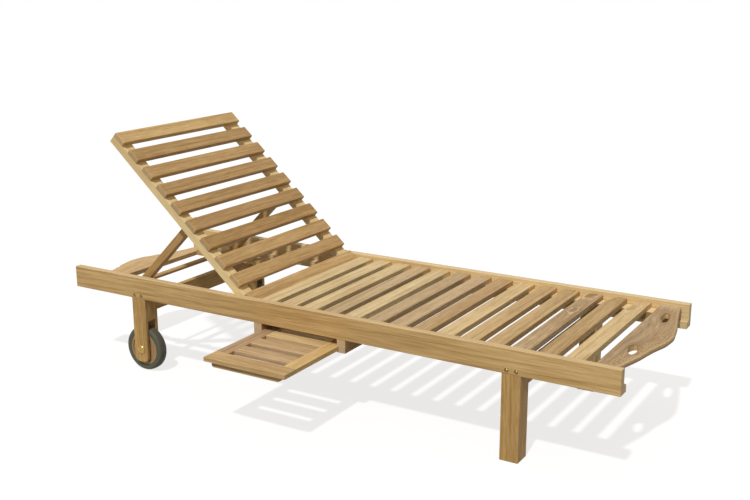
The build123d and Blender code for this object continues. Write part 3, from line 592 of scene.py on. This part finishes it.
def sanded_live_edge(name, pale, dark, rosy, sapwood, bark_and_highlight, core, shaded_flank):
    """Sanded live-edged teak, greyed by weather: the grain follows the plank's own "grain" value, which
    bends round its knots. The sapwood is streaked and flecked, the strip along the live edge is paler, partly
    as a painted highlight, the side face under it is painted darker as shade, and the bare core shows in the
    knots."""
    material, tree = start_material(name)
    source = tree.nodes.new("ShaderNodeTexCoord")
    place = tree.nodes.new("ShaderNodeSeparateXYZ")
    tree.links.new(source.outputs["Object"], place.inputs[0])
    grain, wane_and_highlight, sap, knot, bore, side = (
        add(tree, "ShaderNodeAttribute", {}, out="Fac", attribute_name=kind)
        for kind in ("grain", "wane_and_highlight", "sap", "knot", "bore", "side"))
    length = add(tree, "ShaderNodeMath", {0: place.outputs[1], 1: 0.05}, operation="MULTIPLY")
    along = add(tree, "ShaderNodeCombineXYZ", {0: grain, 1: length})

    # Growth lines 3 mm apart, drawn coarser than the real ones, in bands of 16 mm
    line = add(tree, "ShaderNodeTexNoise", {"Vector": along, "Scale": 1 / 0.003, "Detail": 5.0,
                                            "Roughness": 0.6}, out="Fac")
    band = add(tree, "ShaderNodeTexNoise", {"Vector": along, "Scale": 1 / 0.016, "Detail": 2.0}, out="Fac")
    fleck = add(tree, "ShaderNodeTexNoise", {"Vector": source.outputs["Object"], "Scale": 1 / 0.006,
                                             "Detail": 3.0}, out="Fac")
    patch = add(tree, "ShaderNodeTexNoise", {"Vector": source.outputs["Object"], "Scale": 1 / 0.07,
                                             "Detail": 2.0}, out="Fac")
    shade = add(tree, "ShaderNodeMath", {0: line, 1: 2.3, 2: -1.7}, operation="MULTIPLY_ADD")
    shade = add(tree, "ShaderNodeMath", {0: band, 1: 1.6, 2: shade}, operation="MULTIPLY_ADD")
    shade = add(tree, "ShaderNodeMath", {0: knot, 1: 0.1, 2: shade}, operation="MULTIPLY_ADD")
    flecks = add(tree, "ShaderNodeMapRange", {0: fleck, 1: 0.38, 2: 0.62, 3: -1.2, 4: 1.3})
    shade = add(tree, "ShaderNodeMath", {0: flecks, 1: sap, 2: shade}, operation="MULTIPLY_ADD")
    shade = add(tree, "ShaderNodeMath", {0: patch, 1: 0.45, 2: shade}, operation="MULTIPLY_ADD",
                use_clamp=True)
    colour = add(tree, "ShaderNodeMix", {0: shade, 6: linear(pale), 7: linear(dark)}, out=2, data_type="RGBA")
    warmth = add(tree, "ShaderNodeMapRange", {0: patch, 1: 0.48, 2: 0.68, 3: 0.0, 4: 0.55})
    colour = add(tree, "ShaderNodeMix", {0: warmth, 6: colour, 7: linear(rosy)}, out=2, data_type="RGBA")
    streaks = add(tree, "ShaderNodeMapRange", {0: line, 1: 0.42, 2: 0.58, 3: 0.1, 4: 0.8})
    streaked = add(tree, "ShaderNodeMath", {0: sap, 1: streaks}, operation="MULTIPLY")
    colour = add(tree, "ShaderNodeMix", {0: streaked, 6: colour, 7: linear(sapwood)}, out=2, data_type="RGBA")
    # The paler strip along the live edge is partly the wood where the bark was and partly a painted highlight
    # on the rolled ridge
    speckle = add(tree, "ShaderNodeMapRange", {0: fleck, 1: 0.42, 2: 0.58, 3: 0.25, 4: 0.9})
    stripped_and_highlit = add(tree, "ShaderNodeMath", {0: wane_and_highlight, 1: speckle}, operation="MULTIPLY")
    colour = add(tree, "ShaderNodeMix", {0: stripped_and_highlit, 6: colour, 7: linear(bark_and_highlight)}, out=2, data_type="RGBA")
    fresh = add(tree, "ShaderNodeMath", {0: bore, 1: 0.85}, operation="MULTIPLY")
    colour = add(tree, "ShaderNodeMix", {0: fresh, 6: colour, 7: linear(core)}, out=2, data_type="RGBA")
    # The side face under the live edge is painted darker: painted shade
    shaded_flank_share = add(tree, "ShaderNodeMath", {0: side, 1: 0.75}, operation="MULTIPLY")
    colour = add(tree, "ShaderNodeMix", {0: shaded_flank_share, 6: colour, 7: linear(shaded_flank)}, out=2, data_type="RGBA")
    relief = add(tree, "ShaderNodeMath", {0: fleck, 1: wane_and_highlight, 2: line}, operation="MULTIPLY_ADD")
    bump = add(tree, "ShaderNodeBump", {"Height": relief, "Strength": 0.5, "Distance": 0.001})
    roughness = add(tree, "ShaderNodeMapRange", {0: line, 1: 0.3, 2: 0.7, 3: 0.6, 4: 0.78})
    shader = add(tree, "ShaderNodeBsdfPrincipled",
                 {"Base Color": colour, "Roughness": roughness, "Normal": bump, "IOR": 1.45})
    add(tree, "ShaderNodeOutputMaterial", {"Surface": shader})
    return material


FOOT_WAVE = ((1.0, 0.49), (0.8, 0.59), (0.5, 0.78), (0.36, 0.855), (0.24, 0.94), (0.05, 1.0), (-0.1, 0.97),
             (-0.21, 0.9), (-0.35, 0.79), (-0.48, 0.755), (-0.6, 0.7), (-0.78, 0.575), (-1.0, 0.42))
FOOT_KNOTS = ((0.966, -0.140, 0.014, 0.043), (0.963, 0.182, 0.0125, 0.050))
foot_board = live_edge_board("foot_board_plank", "frame", inner=0.914, width=0.120, half=0.313, top=0.330,
                             bottom=0.312, wave=FOOT_WAVE, knots=FOOT_KNOTS)
# The strip colour along the live edge is partly a painted highlight, and the side colour is painted shade
FOOT_TONES = {"pale": "#c0a47c", "dark": "#846748", "rosy": "#a9835a", "sapwood": "#b08d5e",
              "bark_and_highlight": "#e0c8a0", "core": "#d6b780", "shaded_flank": "#86643c"}
foot_board.data.materials.append(sanded_live_edge("weathered_live_edge_teak", **FOOT_TONES))
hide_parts("foot_board")


# Head board
# A paler live-edged teak plank without knots, sanded like the foot board. It is fixed between the ledges
# at the head end, with its wavy edge outwards.
HEAD_WAVE = ((1.0, 0.33), (0.84, 0.42), (0.56, 0.56), (0.34, 0.75), (0.08, 1.0), (-0.12, 1.0),
             (-0.32, 0.87), (-0.56, 0.7), (-0.8, 0.52), (-1.0, 0.4))
head_board = live_edge_board("head_board_plank", "frame", inner=-0.914, width=-0.132, half=0.295, top=0.281,
                             bottom=0.265, wave=HEAD_WAVE)
# The strip colour along the live edge is partly a painted highlight, and the side colour is painted shade
HEAD_TONES = {"pale": "#dcbd8c", "dark": "#b59062", "rosy": "#caa078", "sapwood": "#d8b47c",
              "bark_and_highlight": "#e2cba0", "core": "#d8b47c", "shaded_flank": "#c29c68"}
head_board.data.materials.append(sanded_live_edge("sanded_live_edge_teak", **HEAD_TONES))
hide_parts("head_board")


# Backrest
# Ten planed teak slats are screwed across two stiles, which turn on brass pins in the rails. The slats
# are warmer and browner than the seat's, and the stiles are nearly cream.
BACK_ANGLE = math.radians(41.9)
ALONG_STILE = (-BACK_ANGLE, 0)
ACROSS_BACK = (-BACK_ANGLE, math.radians(-90))
BACK_DARK = ("#c4a06d", "#96723f")
BACK_LIGHT = ("#cea974", "#a07b47")
BACK_TOP = ("#dfbc84", "#b39058")
BACK_DEEP = ("#bc9661", "#8e6833")
# The lowest slat is paler, partly its own tone and partly painted light
BACK_LOW_LIT = ("#d8b37e", "#aa8551")
BACK_TONES = (BACK_TOP, BACK_DARK, BACK_LIGHT, BACK_DARK, BACK_DARK, BACK_DARK, BACK_DEEP, BACK_LIGHT,
              BACK_LIGHT, BACK_LOW_LIT)
STILE_PALE = ("#efd7a5", "#dabc83")
for side in ("right", "left"):
    planed_teak(f"{side}_back_stile", *STILE_PALE, ALONG_STILE)
for number, tone in enumerate(BACK_TONES, 1):
    planed_teak(f"back_slat_{number:02d}", *tone, ACROSS_BACK)
dress("pivot_pins", brass)


# Prop
# Two planed teak arms pivot on brass pins inside the stiles, and a round bar joins their feet. The bar
# lies across the racks and holds the backrest up.
PROP_ANGLE = math.radians(44.97)
for side in ("right", "left"):
    planed_teak(f"{side}_prop_arm", *LEG_TAN, (PROP_ANGLE, 0))
planed_teak("prop_bar", *TAN, ALONG_Y)


# Tray
# Two rails and two stiles of planed teak hold three slats, each piece from another board. The tray slides
# in the runners' grooves, with a batten under its front to pull it by.
TRAY_ROSE = ("#d2b28a", "#a6865e")
TRAY_GOLD = ("#e1be86", "#b59259")
TRAY_DUSK = ("#c2a382", "#967756")
TRAY_TONES = {"tray_front_rail": (AMBER, ALONG_X), "tray_back_rail": (HONEY, ALONG_X),
              "tray_head_stile": (TRAY_DUSK, ALONG_Y), "tray_foot_stile": (TRAY_GOLD, ALONG_Y),
              "tray_slat_1": (TRAY_ROSE, ALONG_X), "tray_slat_2": (TRAY_ROSE, ALONG_X),
              "tray_slat_3": (HONEY, ALONG_X), "tray_pull": (BROWN, ALONG_X)}
for node, (tone, grain) in TRAY_TONES.items():
    planed_teak(node, *tone, grain)


# Floor, light and camera
# A plain white floor that shows the shadow, one high lamp from the right side, and pale warm light from
# all around; the camera stands where the photograph was taken from.


def seen_rays(tree):
    """One for rays from the eye, straight or by way of metal or glass, and nothing for light on wood."""
    path = tree.nodes.new("ShaderNodeLightPath")
    seen = add(tree, "ShaderNodeMath", {0: path.outputs["Is Camera Ray"], 1: path.outputs["Is Glossy Ray"]},
               operation="MAXIMUM")
    return add(tree, "ShaderNodeMath", {0: seen, 1: path.outputs["Is Transmission Ray"]}, operation="MAXIMUM")


FLOOR_SIZE, FLOOR_GLOW, GLOW_SHARE = 60, 1.12, 0.68
bpy.ops.object.select_all(action="DESELECT")
bpy.ops.mesh.primitive_plane_add(size=FLOOR_SIZE)
floor = bpy.context.object
floor.name = "floor"
floor_paint, tree = start_material("matt_white_floor_paint")
paint = add(tree, "ShaderNodeBsdfDiffuse", {"Color": (0.9, 0.9, 0.9, 1)})
strength = add(tree, "ShaderNodeMapRange", {0: seen_rays(tree), 3: 0.0, 4: FLOOR_GLOW})
glow = add(tree, "ShaderNodeEmission", {"Color": (1, 1, 1, 1), "Strength": strength})
lifted = add(tree, "ShaderNodeMixShader", {0: GLOW_SHARE, 1: paint, 2: glow})
add(tree, "ShaderNodeOutputMaterial", {"Surface": lifted})
floor.data.materials.append(floor_paint)

TOWARDS_SUN, SUN_STRENGTH, SUN_BREADTH = Vector((0.16, -1.0, 1.46)), 2.3, math.radians(2.5)
bpy.ops.object.light_add(type="SUN", rotation=TOWARDS_SUN.to_track_quat("Z", "Y").to_euler())
sun = bpy.context.object.data
sun.energy = SUN_STRENGTH
sun.angle = SUN_BREADTH

SKY_STRENGTH, SKY_WARM = 0.38, "#fff9e6"
world = bpy.data.worlds.new("studio")
bpy.context.scene.world = world
world.use_nodes = True
world.node_tree.nodes.clear()
tree = world.node_tree
seen = seen_rays(tree)
strength = add(tree, "ShaderNodeMapRange", {0: seen, 3: SKY_STRENGTH, 4: 1.0})
warm = add(tree, "ShaderNodeMix", {0: seen, 6: linear(SKY_WARM), 7: (1, 1, 1, 1)}, out=2, data_type="RGBA")
sky = add(tree, "ShaderNodeBackground", {"Color": warm, "Strength": strength})
add(tree, "ShaderNodeOutputWorld", {"Surface": sky})

CAMERA_PLACE = (1.799, -2.917, 1.361)
AZIMUTH, ELEVATION, ROLL = (math.radians(angle) for angle in (31.10, 14.80, -0.15))
FOCAL_PIXELS = 1065
IMAGE_WIDTH = 750
aim = (Matrix.Rotation(AZIMUTH, 4, "Z") @ Matrix.Rotation(math.pi / 2 - ELEVATION, 4, "X")
       @ Matrix.Rotation(ROLL, 4, "Z"))
bpy.ops.object.camera_add(location=CAMERA_PLACE, rotation=aim.to_euler())
camera = bpy.context.object
camera.data.sensor_width = 36.0
camera.data.sensor_fit = "HORIZONTAL"
camera.data.lens = camera.data.sensor_width * FOCAL_PIXELS / IMAGE_WIDTH
bpy.context.scene.camera = camera
bpy.context.scene.view_settings.view_transform = "Standard"
